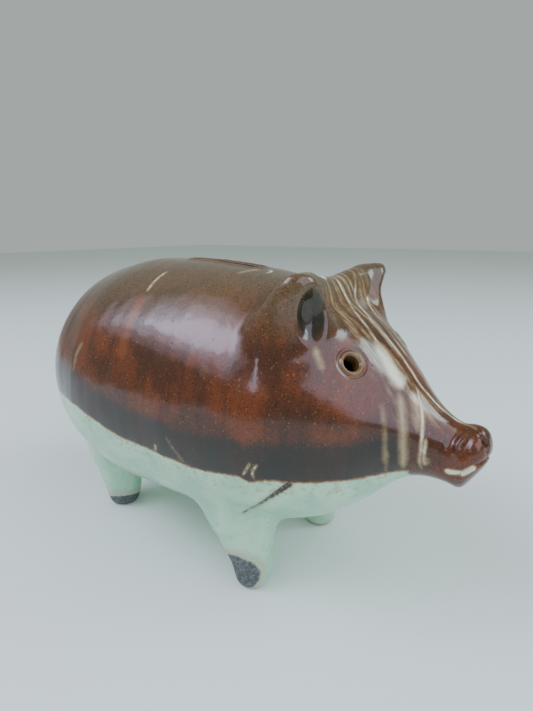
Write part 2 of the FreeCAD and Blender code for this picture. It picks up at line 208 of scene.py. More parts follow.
snoutShape = {  # out of the neck, drop under the axis, half height, half width, lean back
    "rings": [
        (-9, 0, 26, 26, 0), (0, 0, 21.3, 21.3, 0), (6, 1.5, 15.8, 15.8, 0),
        (12, 3.8, 12.2, 11.7, 0), (18, 6.0, 10.6, 9.3, 0), (21, 6.5, 11.3, 8.9, -0.05),
        (23, 6.0, 11.2, 9.1, -0.1), (24.8, 4.9, 10.0, 8.7, -0.14), (26.8, 3.9, 7.6, 7.4, -0.14),
        (28.6, 3.1, 4.4, 5, -0.08), (29.5, 2.9, 1.8, 2.2, 0),
    ],
}


def buildSnout():
    keys = [(out, drop, 0, halfHigh, halfWide, lean)
            for out, drop, halfHigh, halfWide, lean in snoutShape["rings"]]
    bm = growRings(keys, steps=5)
    # rings are grown upwards, then turned to point forward: their X becomes down
    turn = Matrix(((0, 0, 1, neckX), (0, 1, 0, 0), (-1, 0, 0, axisZ), (0, 0, 0, 1)))
    bmesh.ops.transform(bm, matrix=turn, verts=bm.verts)
    return bm


earShape = {  # up the ear from inside the wall: up, sweep, lean outward, half width, half depth
    "rings": [
        (-4, -1, -2, 20, 12), (8, -1.5, 1.2, 15.5, 9.5), (16, -2, 3, 12.2, 7.2),
        (22, -2.3, 4.8, 9.6, 6), (27, -2.5, 6.2, 7.2, 4.8), (30.2, -2.5, 7, 4.6, 3.2),
        (31.3, -2.5, 7.2, 1.8, 1.3),
    ],
    "crest": [  # the pinched ridge over the crown: across, station, top, half thickness
        (-29.5, 143, 121.5, 3.5), (-25.5, 142, 125, 4.6), (-19, 140.5, 124.8, 5.4),
        (-10, 139, 123.3, 6), (0, 138.5, 121.6, 7), (10, 139, 123.3, 6), (19, 140.5, 124.8, 5.4),
        (25.5, 142, 125, 4.6), (29.5, 143, 121.5, 3.5),
    ],
    "crestDepth": 8,
    "root": [  # the roll of clay drawn down behind the right ear, the left one is its mirror: x, y, z, radius
        (40.6, -30.4, 119.5, 3.0), (36.6, -31.6, 112, 4.6), (33.9, -32.2, 102.5, 6.4),
        (36.6, -33.8, 93, 6.8), (40.2, -36.4, 83.2, 5.6),
    ],
    "station": 140.0,
    "side": 21.5,
    "rise": 22.0,
    "turn": 47.0,
}


def earPlace(sign):
    spot = Vector((rumpX + earShape["station"], sign * earShape["side"], axisZ + earShape["rise"]))
    return Matrix.Translation(spot) @ Matrix.Rotation(math.radians(-sign * earShape["turn"]), 4, "Z")


def buildEar(sign):
    keys = [(up, sweep, sign * lean, halfWide, halfDeep, 0)
            for up, sweep, lean, halfWide, halfDeep in earShape["rings"]]
    bm = growRings(keys)
    bmesh.ops.transform(bm, matrix=earPlace(sign), verts=bm.verts)
    return bm


def buildCrest():
    deep = earShape["crestDepth"]
    keys = [(across, rumpX + station, top - deep, half, deep, 0)
            for across, station, top, half in earShape["crest"]]
    bm = growRings(keys)
    # grown upwards, then laid across the head: its up becomes Y
    laid = Matrix(((1, 0, 0, 0), (0, 0, 1, 0), (0, 1, 0, 0), (0, 0, 0, 1)))
    bmesh.ops.transform(bm, matrix=laid, verts=bm.verts)
    bmesh.ops.recalc_face_normals(bm, faces=bm.faces)
    return bm


def buildEarRoot(sign):
    keys = [(z, x, -sign * y, radius, radius, 0) for x, y, z, radius in reversed(earShape["root"])]
    return growRings(keys)


legShape = {  # up the leg: up, set back, set in, half length, half width
    "front": [
        (0, 0, 0, 4.6, 4.6), (0.6, 0, 0, 6.0, 6.0), (2.5, 0, 0, 7.2, 7.2), (10, 0.3, 0, 9.0, 8.8),
        (20, 3.6, 0, 12.8, 10.8), (32, 9.5, 1, 19, 13), (46, 12, 7, 24, 13),
    ],
    "rear": [
        (0, 0, 0, 4.8, 4.8), (0.6, 0, 0, 6.4, 6.4), (2.5, 0, 0, 7.6, 7.6), (10, 0, 0, 9.6, 9.4),
        (20, 1.6, 0, 11.8, 11), (32, 4.5, 0, 15, 13), (46, 3, 1, 15, 12.5),
    ],
}


soles = {  # where each sole stands, as the record has it
    mount["name"].removeprefix("sole_"): Vector(mount["pos_m"]) / mm
    for mount in frame["record"]["mounts"] if mount["name"].startswith("sole_")
}


def buildLeg(end, side):
    sole = soles[f"{end}_{side}"]
    sign = sides[side]
    keys = [(up, -back, -sign * inward, halfLong, halfWide, 0)
            for up, back, inward, halfLong, halfWide in legShape[end]]
    bm = growRings(keys)
    bmesh.ops.translate(bm, verts=bm.verts, vec=(sole.x, sole.y, 0))
    return bm


tailShape = {
    "rise": 11.0,
    "curl": 5.0,
    "roll": 2.6,
    "proud": 3.0,
    "sunk": 1.2,
    "turns": (-0.25, 1.0),
    "tighten": (1.1, 0.35),  # share of the curl's radius at its start, and how much it loses in a turn
    "thin": 0.3,
}


def buildTail():
    # a rolled worm: a ring carried round a spiral against the rump
    curve = bpy.data.curves.new("tail", "CURVE")
    curve.dimensions = "3D"
    spline = curve.splines.new("NURBS")
    turns = np.linspace(*tailShape["turns"], 14)
    wide, loss = tailShape["tighten"]
    spline.points.add(len(turns) - 1)
    for point, turn in zip(spline.points, turns):
        angle = 2 * math.pi * turn
        reach = tailShape["curl"] * (wide - loss * turn)
        point.co = (rumpX - tailShape["proud"] + tailShape["roll"], reach * math.sin(angle),
                    axisZ + tailShape["rise"] - reach * math.cos(angle), 1)
        point.radius = 1 - tailShape["thin"] * max(0, turn)
    spline.order_u = 3
    spline.use_endpoint_u = True
    curve.bevel_depth = tailShape["roll"]
    curve.bevel_resolution = 6
    curve.use_fill_caps = True
    obj = bpy.data.objects.new("tail", curve)
    bm = bmesh.new()
    bm.from_mesh(bpy.data.meshes.new_from_object(obj))
    bpy.data.objects.remove(obj)
    bmesh.ops.remove_doubles(bm, verts=bm.verts, dist=0.001)
    # the side that is pressed into the rump is cut flat
    bmesh.ops.bisect_plane(bm, geom=bm.verts[:] + bm.edges[:] + bm.faces[:], plane_no=(1, 0, 0),
                           plane_co=(rumpX + tailShape["sunk"], 0, 0), clear_outer=True)
    bmesh.ops.holes_fill(bm, edges=[edge for edge in bm.edges if edge.is_boundary], sides=0)
    bmesh.ops.recalc_face_normals(bm, faces=bm.faces)
    return bm


def distanceTo(points, seeds, reach):
    # distance from each point to the nearest seed, where that is less than reach
    found = np.full(len(points), float(reach))
    close = np.all((points > seeds.min(0) - reach) & (points < seeds.max(0) + reach), axis=1)
    for chunk in np.array_split(np.nonzero(close)[0], 1 + close.sum() // 4000):
        gaps = points[chunk][:, None] - seeds[None]
        found[chunk] = np.minimum(reach, np.sqrt((gaps ** 2).sum(2).min(1)))
    return found


skinShape = {
    "voxel": 1.1,
    "polish": 10,
    "seamBand": 1.3,
    "seams": {  # how far round a luted seam the clay is drawn smooth, and in how many passes
        "snout": (9, 20),
        "leg": (14, 110),
        "ear": (11, 60),
    },
    "seamCore": 0.35,  # share of that reach that gets the full smoothing
    "soleFlat": 0.5,
    "soleReach": 4,  # how far up the foot the flattening is felt
}

raw = {"body": spinProfile(outerProfile, bodyShape["turns"]), "snout": buildSnout(), "ear crest": buildCrest()}
for side, sign in sides.items():
    raw[f"ear {side}"] = buildEar(sign)
    raw[f"ear root {side}"] = buildEarRoot(sign)
    for end in legShape:
        raw[f"leg {end} {side}"] = buildLeg(end, side)
joined = bmesh.new()
seamSeeds = {kind: [] for kind in skinShape["seams"]}
for name, lump in raw.items():
    mesh = bpy.data.meshes.new(name)
    lump.to_mesh(mesh)
    lump.free()
    joined.from_mesh(mesh)
    kind = name.split()[0]
    if kind in seamSeeds:
        points = getPoints(mesh)
        seamSeeds[kind].append(points[abs(heightOverBody(points)) < skinShape["seamBand"]])
    bpy.data.meshes.remove(mesh)
skin = newObject("skin", joined)
print("lumps joined")

# one skin over all of them, drawn smooth where a finger ran along each seam


def smoothOut(obj, passes, weights=None):
    soften = obj.modifiers.new("soften", "SMOOTH")
    soften.factor = 0.5
    soften.iterations = passes
    if weights is not None:
        group = obj.vertex_groups.new(name="soft")
        for index in np.nonzero(weights > 0.01)[0]:
            group.add([int(index)], float(weights[index]), "REPLACE")
        soften.vertex_group = group.name
    bakeModifiers(obj)
    obj.vertex_groups.clear()


remesh = skin.modifiers.new("skin", "REMESH")
remesh.mode = "VOXEL"
remesh.voxel_size = skinShape["voxel"]
bakeModifiers(skin)
smoothOut(skin, skinShape["polish"])
for kind, (reach, passes) in skinShape["seams"].items():
    points = getPoints(skin.data)
    gap = np.min([distanceTo(points, seeds, reach) for seeds in seamSeeds[kind]], axis=0)
    smoothOut(skin, passes, 1 - ease(skinShape["seamCore"] * reach, reach, gap))
print("skin", len(skin.data.vertices))

# finer clay where small features sit, then the hand marks themselves

eyeMark = {
    "hole": 5.5,
    "station": 158.5,
    "side": 20.0,
    "rise": 24.5,
    "turn": 33.0,
    "tilt": 57.0,
    "rings": [(4.7, 0.75, -0.45), (3.5, 0.7, 0.35)],  # pressed ring and raised lip: radius, half width, height
    "roundOff": (0.9, 0.2, 0.9),  # how far outside and inside the hole's edge it drops, and how deep
    "reach": 12,
    "worn": (3.4, -0.5),  # radius of a pale ring, part glaze drawn back from the edge and part painted highlight, and how strongly
}
slotMark = {
    "length": 38.0,
    "width": 5.0,
    "station": 69.0,
    "ridge": (1.3, 1.1, 0.45),  # raised lip: distance from the slot, half width, height
    "roundOff": (0.8, 0.6, 0.8),
}
crackMark = {
    "line": [(49.5, -38.3, 57.6), (45.7, -38.9, 53.9), (41.9, -38.9, 50.2), (36.9, -37.8, 45.5), (28.9, -35, 38.4),
             (26, -34.8, 36)],
    "halfWidth": 1.17,
    "depth": 0.9,
    "taper": 0.8,
    "darkTaper": 1.1,
}
noseMark = {
    "nostrils": [(98.3, 3.6, 73), (98.3, -3.6, 73)],
    "nostrilReach": (5, 1.1, 2.9),
    "nostrilEdge": (1.25, 0.1),
    "nostrilDepth": 2.4,
    "rim": [(95, 2.5, 77), (94.1, 4.6, 76), (93, 6.6, 73.9), (92.4, 7.8, 71.5), (92.7, 8.6, 68.5), (93.8, 9, 65)],
    "rimHeight": 0.8,
    "rimHalf": 0.9,
    "rimValley": (2.2, 1.1, 0.6),  # hollow beside the rim: distance, half width, share of the rim's height
    "mouth": [(101, 0, 67.6), (100.3, 3.4, 67.3), (98.6, 6.6, 66.3), (96.3, 8.4, 64.6), (93.6, 9.2, 62.4),
              (91, 9.2, 60.6)],
    "mouthHalf": 1.5,
    "mouthDepth": 1.3,
    "mouthTaper": 0.6,
}
earMark = {  # the dish pressed into each ear
    "centre": (1.2, 18),
    "reach": (5.8, 9.4),
    "depth": 3.6,
    "edge": (1.1, 0.35),
    "front": (-3, 1),  # the dish is only on the side that faces forward and out
    "thick": (14, 12),
    "dishShadeFrom": -4,
    "far": 9.0,
}
dripMark = {  # a lip of thick glaze stopped on the right foreleg
    "line": [(13.4, -36.6, 28.6), (15.2, -37.6, 27.3), (17.8, -37.6, 26.6), (20.6, -37.3, 26.4), (23.4, -36.6, 26.4)],
    "half": 1.3,
    "height": 1.2,
}
handMark = {
    "lumps": ((26, 0.42), (11, 0.14)),  # size and height of the unevenness
    "ringPitch": 7.5,
    "ringHeight": 0.022,
    "ringDrift": (30, 4),  # size of the drift and how far it bends the rings
    "ringSeed": (7, 3, 1),
    "wallBand": (14, 3),  # how near the thrown wall the rings show
    "neckFade": 20,
}
# how far round each small feature the mesh is made finer
fineShape = {"eye": 6.5, "neck": 2, "slot": 3.5, "crack": 2, "ear": (18, 14, 4), "eyeCore": 5.6, "crackCore": 1.3,
             "eyeSoft": 5, "passes": (6, 5)}

eyeSpots, eyeAims = [], []
for sign in sides.values():
    turn, tilt = math.radians(eyeMark["turn"]), math.radians(eyeMark["tilt"])
    eyeAims.append(Vector((math.sin(tilt) * math.cos(turn), sign * math.sin(tilt) * math.sin(turn),
                           math.cos(tilt))))
    eyeSpots.append(Vector((rumpX + eyeMark["station"], sign * eyeMark["side"], axisZ + eyeMark["rise"])))
slotX = rumpX + slotMark["station"] + slotMark["length"] / 2


farGap = 12.0  # past this many millimetres a mark isn't felt


def lineGap(points, line, steps=6):
    # distance to a smooth line through a few spots, and how far along it the nearest place is
    path = smoothKeys(line, steps)
    nearest = np.full(len(points), 1e3)
    along = np.zeros(len(points))
    low, high = path.min(0)[:3] - farGap, path.max(0)[:3] + farGap
    close = np.nonzero(np.all((points > low) & (points < high), axis=1))[0]
    spots = points[close]
    for index, (start, end) in enumerate(zip(path[:, :3], path[1:, :3])):
        run = end - start
        share = np.clip(((spots - start) @ run) / max(run @ run, 1e-9), 0, 1)
        gap = np.linalg.norm(spots - start - share[:, None] * run, axis=1)
        better = gap < nearest[close]
        nearest[close[better]] = gap[better]
        along[close[better]] = (index + share[better]) / (len(path) - 1)
    return nearest, along


def eyeGap(points):
    gaps = []
    for spot, aim in zip(eyeSpots, eyeAims):
        away = points - np.array(spot)
        depth = away @ np.array(aim)
        radial = np.linalg.norm(away - depth[:, None] * np.array(aim), axis=1)
        gaps.append(np.where(np.abs(depth) < eyeMark["reach"], radial, 1e3))
    return np.min(gaps, axis=0)


def slotGap(points):
    # distance outward from the slot's outline, negative inside it
    half = slotMark["length"] / 2 - slotMark["width"] / 2
    along = np.abs(points[:, 0] - slotX)
    gap = np.hypot(np.maximum(along - half, 0), points[:, 1]) - slotMark["width"] / 2
    return np.where(points[:, 2] > axisZ + 30, gap, 1e3)


def earLocal(points, sign):
    inverse = np.array(earPlace(sign).inverted())
    return points @ inverse[:3, :3].T + inverse[:3, 3]


def earBowl(points, sign):
    # distance out from the middle of the ear's dish, 1 at its edge, and the place in the ear's own frame
    local = earLocal(points, sign)
    middle, reach = earMark["centre"], earMark["reach"]
    return np.hypot((local[:, 0] - middle[0]) / reach[0], (local[:, 2] - middle[1]) / reach[1]), local


def refine(obj, wanted):
    # halves the edges whose two corners are both wanted
    bm = bmesh.new()
    bm.from_mesh(obj.data)
    chosen = set(np.nonzero(wanted)[0].tolist())
    edges = [edge for edge in bm.edges if edge.verts[0].index in chosen and edge.verts[1].index in chosen]
    bmesh.ops.subdivide_edges(bm, edges=edges, cuts=1, use_grid_fill=True)
    bm.to_mesh(obj.data)
    bm.free()


def fineZone(points, margin):
    zone = (eyeGap(points) < fineShape["eye"] + margin) | (points[:, 0] > neckX - fineShape["neck"] + margin)
    zone |= (np.abs(slotGap(points)) < fineShape["slot"] + margin)
    zone |= lineGap(points, crackMark["line"])[0] < fineShape["crack"] + margin
    wide, deep, foot = fineShape["ear"]
    for sign in sides.values():
        local = earLocal(points, sign)
        zone |= (local[:, 2] > foot) & (np.abs(local[:, 0]) < wide) & (np.abs(local[:, 1]) < deep)
    return zone


refine(skin, fineZone(getPoints(skin.data), 1))
smoothOut(skin, fineShape["passes"][0], fineZone(getPoints(skin.data), 0).astype(float))
points = getPoints(skin.data)
crackNear = lineGap(points, crackMark["line"])[0] < fineShape["crackCore"]
refine(skin, (eyeGap(points) < fineShape["eyeCore"]) | crackNear)
smoothOut(skin, fineShape["passes"][1], (eyeGap(getPoints(skin.data)) < fineShape["eyeSoft"]).astype(float))
print("finer where the face and slot are", len(skin.data.vertices))

points = getPoints(skin.data)
normals = getNormals(skin.data)
lift = np.zeros(len(points))
for size, height in handMark["lumps"]:
    lift += height * np.array([noise.noise(Vector(point) / size) for point in points.tolist()])
onWall = ease(*handMark["wallBand"], np.abs(heightOverBody(points)))
onWall *= ease(neckX, neckX - handMark["neckFade"], points[:, 0])
driftSize, bend = handMark["ringDrift"]
seed = Vector(handMark["ringSeed"])
drift = np.array([noise.noise(Vector(point) / driftSize + seed) for point in points.tolist()])
lift += handMark["ringHeight"] * onWall * np.sin(2 * math.pi * points[:, 0] / handMark["ringPitch"] + bend * drift)

radial = eyeGap(points)
for ringAt, half, height in eyeMark["rings"]:
    lift += height * np.exp(-((radial - ringAt) / half) ** 2)
over, inside, drop = eyeMark["roundOff"]
lift -= drop * ease(eyeMark["hole"] / 2 + over, eyeMark["hole"] / 2 - inside, radial)
gap = slotGap(points)
ridgeAt, half, height = slotMark["ridge"]
over, inside, drop = slotMark["roundOff"]
lift += height * np.exp(-((gap - ridgeAt) / half) ** 2) - drop * ease(over, -inside, gap)
for sign in sides.values():
    bowl, local = earBowl(points, sign)
    facing = ease(*earMark["front"], local[:, 1] * sign) * ease(*earMark["thick"], np.abs(local[:, 1]))
    lift -= facing * earMark["depth"] * ease(*earMark["edge"], bowl)
gap, along = lineGap(points, dripMark["line"])
lift += dripMark["height"] * np.exp(-(gap / dripMark["half"]) ** 2) * np.sin(math.pi * np.clip(along, 0.02, 0.98))
gap, along = lineGap(points, crackMark["line"])
lift -= crackMark["depth"] * ease(crackMark["halfWidth"], 0, gap) * (1 - crackMark["taper"] * along)
for spot in noseMark["nostrils"]:
    dent = np.linalg.norm((points - np.array(spot)) / np.array(noseMark["nostrilReach"]), axis=1)
    lift -= noseMark["nostrilDepth"] * ease(*noseMark["nostrilEdge"], dent)
for sign in sides.values():
    rim, along = lineGap(points, [(x, sign * y, z) for x, y, z in noseMark["rim"]])
    valleyAt, half, share = noseMark["rimValley"]
    ridge = np.exp(-(rim / noseMark["rimHalf"]) ** 2) - share * np.exp(-((rim - valleyAt) / half) ** 2)
    lift += noseMark["rimHeight"] * np.sin(math.pi * np.clip(along, 0.02, 0.98)) * ridge
    gap, along = lineGap(points, [(x, sign * y, z) for x, y, z in noseMark["mouth"]])
    # at the middle of the mouth both halves press, each half as deep
    press = np.where(along > 0, 1, 0.5) * (1 - noseMark["mouthTaper"] * along)
    lift -= noseMark["mouthDepth"] * press * ease(noseMark["mouthHalf"], 0, gap)
points += normals * lift[:, None]

# the soles are pressed flat on the board
top = skinShape["soleReach"]
base = points[:, 2].min() + skinShape["soleFlat"]
foot = points[:, 2] < top
points[foot, 2] = np.maximum(0, (points[foot, 2] - base) * top / (top - base))
setPoints(skin.data, points)
print("sculpted")

# cut the skin where each applied piece was luted on, and hollow the body

cutShape = {  # how far off the wall each piece is parted from it, and how far round it to look
    "snout": (0, 40),
    "ear": (2.5, 30),
    "leg": (2.0, 34),
}
cavityShape = {
    "turns": 96,
    "tenon": 8,  # how far the snout's plug reaches into the neck
    "gap": 0.3,
    "past": 2,
}
knifeShape = {"rise": 40, "reach": 25, "rod": 24, "segments": 40}
edgeAngle = 0.6  # a hidden edge turning more than this many radians is sharp


def wallPlane(x, y, up, off):
    # the plane that touches the thrown wall over or under (x, y), moved off it
    radius = np.interp(x - rumpX, outerProfile[:, 0], outerProfile[:, 1])
    ahead = np.interp(x - rumpX + 1, outerProfile[:, 0], outerProfile[:, 1])
    behind = np.interp(x - rumpX - 1, outerProfile[:, 0], outerProfile[:, 1])
    slope = (ahead - behind) / 2
    rise = up * math.sqrt(radius ** 2 - y ** 2)
    normal = Vector((-slope, y / radius, rise / radius)).normalized()
    return Vector((x, y, axisZ + rise)) + normal * off, normal


pieceCuts = {"snout": (Vector((neckX, 0, axisZ)), Vector((1, 0, 0)), cutShape["snout"][1])}
for side, sign in sides.items():
    off, reach = cutShape["ear"]
    pieceCuts[f"ear_{side}"] = (*wallPlane(rumpX + earShape["station"], sign * earShape["side"], 1, off), reach)
    off, reach = cutShape["leg"]
    for end in legShape:
        sole = soles[f"{end}_{side}"]
        back = legShape[end][4][1]
        pieceCuts[f"leg_{end}_{side}"] = (*wallPlane(sole.x - back, sole.y, -1, off), reach)


def keepNormals(mesh):
    # every corner remembers the whole skin's normal, so a parting line doesn't show in the gloss
    layer = mesh.attributes.new("wholeNormal", "FLOAT_VECTOR", "POINT")
    layer.data.foreach_set("vector", getNormals(mesh).ravel())
    layer = mesh.attributes.new("outside", "INT", "FACE")
    layer.data.foreach_set("value", np.ones(len(mesh.polygons), dtype=np.int32))


def partPieces(obj):
    bm = bmesh.new()
    bm.from_mesh(obj.data)
    owner = bm.faces.layers.int.new("owner")
    outside = bm.faces.layers.int["outside"]
    made = {}
    names = list(pieceCuts)
    for index, name in enumerate(names, 1):
        spot, normal, reach = pieceCuts[name]
        centre = spot + normal * reach * 0.3
        near = [face for face in bm.faces if (face.calc_center_median() - centre).length < reach * 1.3
                and (name == "snout" or face.calc_center_median().y * spot.y > 0)]
        edges = {edge for face in near for edge in face.edges}
        verts = {vert for face in near for vert in face.verts}
        bmesh.ops.bisect_plane(bm, geom=list(verts) + list(edges) + near, plane_co=spot, plane_no=normal, dist=1e-4)
        for face in bm.faces:
            middle = face.calc_center_median()
            if (middle - spot).dot(normal) > 0 and (middle - centre).length < reach * 1.3 \
                    and (name == "snout" or middle.y * spot.y > 0) and face[owner] == 0:
                face[owner] = index
    for index, name in [(0, "body_shell")] + list(enumerate(names, 1)):
        piece = bm.copy()
        mark = piece.faces.layers.int["owner"]
        bmesh.ops.delete(piece, geom=[face for face in piece.faces if face[mark] != index], context="FACES")
        rims = [edge for edge in piece.edges if edge.is_boundary]
        caps = bmesh.ops.holes_fill(piece, edges=rims, sides=0)["faces"]
        outer = piece.faces.layers.int["outside"]
        for cap in caps:
            cap[outer] = 0
        made[name] = (piece, caps)
    bm.free()
    return made


keepNormals(skin.data)
parted = partPieces(skin)
print("parted into", len(parted), "pieces")


def offsetProfile(outer, wall):
    # the inner face of the thrown wall, then the bore that the snout's tenon plugs
    run = np.gradient(outer, axis=0)
    square = np.stack([run[:, 1], -run[:, 0]], axis=1) / np.linalg.norm(run, axis=1)[:, None]
    inner = outer + square * wall
    bore = bodyShape["bore"]
    shoulder = neckX - rumpX - cavityShape["tenon"]
    kept = [(station, radius) for station, radius in inner if station > wall and bore < radius and station < shoulder]
    start = min(station for station, radius in kept)
    mouth = neckX - rumpX + cavityShape["past"]
    return [(start, 0)] + kept + [(shoulder + 0.01, bore), (mouth, bore), (mouth, 0)]


def cutWith(obj, tool):
    cut = obj.modifiers.new("cut", "BOOLEAN")
    cut.operation = "DIFFERENCE"
    cut.solver = "EXACT"
    cut.object = tool
    bakeModifiers(obj)
    mesh = tool.data
    bpy.data.objects.remove(tool)
    bpy.data.meshes.remove(mesh)


def piercingTools():
    # the slot knife and the two eye rods
    bm = bmesh.new()
    half = (slotMark["length"] - slotMark["width"]) / 2
    knife = bmesh.ops.create_circle(bm, cap_ends=True, segments=knifeShape["segments"],
                                    radius=slotMark["width"] / 2)["verts"]
    for vert in knife:
        if abs(vert.co.x) > 1e-6:
            vert.co.x += math.copysign(half, vert.co.x)
    bmesh.ops.translate(bm, verts=knife, vec=(slotX, 0, axisZ + knifeShape["rise"]))
    grown = bmesh.ops.extrude_face_region(bm, geom=list(bm.faces))["geom"]
    bmesh.ops.translate(bm, verts=vertsOf(grown), vec=(0, 0, knifeShape["reach"]))
    for spot, aim in zip(eyeSpots, eyeAims):
        turn = aim.to_track_quat("Z", "Y").to_matrix().to_4x4()
        bmesh.ops.create_cone(bm, cap_ends=True, segments=knifeShape["segments"], radius1=eyeMark["hole"] / 2,
                              radius2=eyeMark["hole"] / 2, depth=knifeShape["rod"],
                              matrix=Matrix.Translation(spot) @ turn)
    bmesh.ops.recalc_face_normals(bm, faces=bm.faces)
    return newObject("tools", bm)


def finishPiece(obj, whole):
    # gloss normals from the whole skin outside, plain ones on hidden and cut faces
    mesh = obj.data
    bm = bmesh.new()
    bm.from_mesh(mesh)
    outside = bm.faces.layers.int["outside"]
    for face in bm.faces:
        face.smooth = True
        face.material_index = 0 if face[outside] else 1
    for edge in bm.edges:
        if len(edge.link_faces) == 2:
            one, two = edge.link_faces
            soft = one[outside] == 1 or edge.calc_face_angle(0) < edgeAngle
            edge.smooth = one[outside] == two[outside] and soft
    bm.to_mesh(mesh)
    bm.free()
    stored = readVectors(mesh.attributes["wholeNormal"].data, "vector")
    tree, known = whole
    for index in np.nonzero(np.linalg.norm(stored, axis=1) < 0.5)[0]:
        stored[index] = known[tree.find(mesh.vertices[int(index)].co)[1]]
    stored /= np.linalg.norm(stored, axis=1)[:, None]
    corners = np.zeros(len(mesh.loops), dtype=np.int32)
    mesh.loops.foreach_get("vertex_index", corners)
    isOutside = np.zeros(len(mesh.polygons), dtype=np.int32)
    mesh.attributes["outside"].data.foreach_get("value", isOutside)
    sizes = np.zeros(len(mesh.polygons), dtype=np.int32)
    mesh.polygons.foreach_get("loop_total", sizes)
    perCorner = np.repeat(isOutside, sizes)
    custom = np.where(perCorner[:, None] == 1, stored[corners], 0)
    mesh.normals_split_custom_set(custom.tolist())
    for name in ("wholeNormal", "outside", "owner"):
        if name in mesh.attributes:
            mesh.attributes.remove(mesh.attributes[name])


skinPoints, skinNormals = getPoints(skin.data), getNormals(skin.data)
skinTree = KDTree(len(skinPoints))
for index, point in enumerate(skinPoints):
    skinTree.insert(point, index)
skinTree.balance()
whole = (skinTree, skinNormals)
bpy.data.objects.remove(skin)

pieces = {}
for name, (bm, caps) in parted.items():
    if name == "snout":
        # the tenon that plugs the neck
        bmesh.ops.inset_region(bm, faces=caps,
                               thickness=bodyShape["neck"] - bodyShape["bore"] + cavityShape["gap"])
        grown = bmesh.ops.extrude_face_region(bm, geom=caps)["geom"]
        bmesh.ops.delete(bm, geom=[cap for cap in caps if cap.is_valid], context="FACES_ONLY")
        bmesh.ops.translate(bm, verts=vertsOf(grown), vec=(-cavityShape["tenon"], 0, 0))
        outside = bm.faces.layers.int["outside"]
        for face in bm.faces:
            if face.calc_center_median().x < neckX + 1e-4:
                face[outside] = 0
    pieces[name] = newObject(f"{name}_glazed", bm)

tail = newObject("tail_glazed", buildTail())
for polygon in tail.data.polygons:
    polygon.use_smooth = len(polygon.vertices) < 12
cavity = spinProfile(offsetProfile(outerProfile, bodyShape["wall"]), cavityShape["turns"])
cutWith(pieces["body_shell"], newObject("cavity", cavity))
cutWith(pieces["body_shell"], piercingTools())
for name, obj in pieces.items():
    finishPiece(obj, whole)
print("pieces finished")
pieces["tail"] = tail

# where each finish lies: distances in millimetres, kept on the mesh

